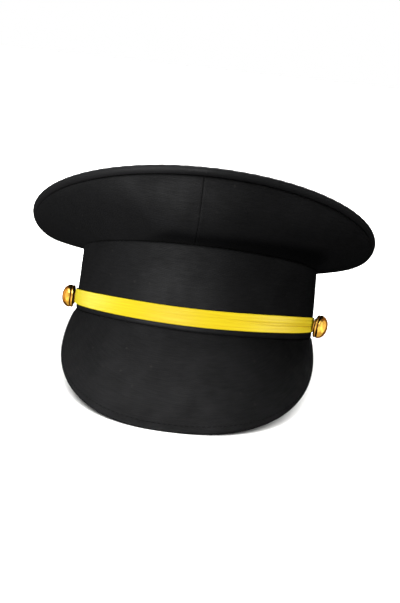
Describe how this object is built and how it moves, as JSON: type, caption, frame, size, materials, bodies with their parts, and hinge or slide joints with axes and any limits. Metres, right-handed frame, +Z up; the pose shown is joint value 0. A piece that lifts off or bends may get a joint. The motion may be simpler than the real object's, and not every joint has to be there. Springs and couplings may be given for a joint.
{
  "type": "peaked uniform cap",
  "caption": "Black wool peaked uniform cap with a wide wired crown, upright band, cloth-covered peak, gold chin strap and gilt side buttons, standing on its peak and the back of its band.",
  "frame": {"origin": "on the surface that the cap stands on, under the middle of its bounding box", "axes": "+Y from front to back along the cap's length, +Z up, +X to the wearer's left; the peak points to -Y"},
  "size_m": [0.2422, 0.3038, 0.1468],
  "materials": {
    "black_wool": "matte milled wool cloth",
    "gold_ribbon": "lustrous gold ribbon with lengthwise pleats",
    "gilt_metal": "polished gilt"
  },
  "bodies": {
    "root": {"band": "black_wool", "peak": "black_wool", "crown_quarter_front_left": "black_wool", "crown_quarter_rear_left": "black_wool", "crown_quarter_rear_right": "black_wool", "crown_quarter_front_right": "black_wool", "crown_top": "black_wool", "chin_strap": "gold_ribbon", "side_button_left": "gilt_metal", "side_button_right": "gilt_metal"}
  },
  "joints": []
}
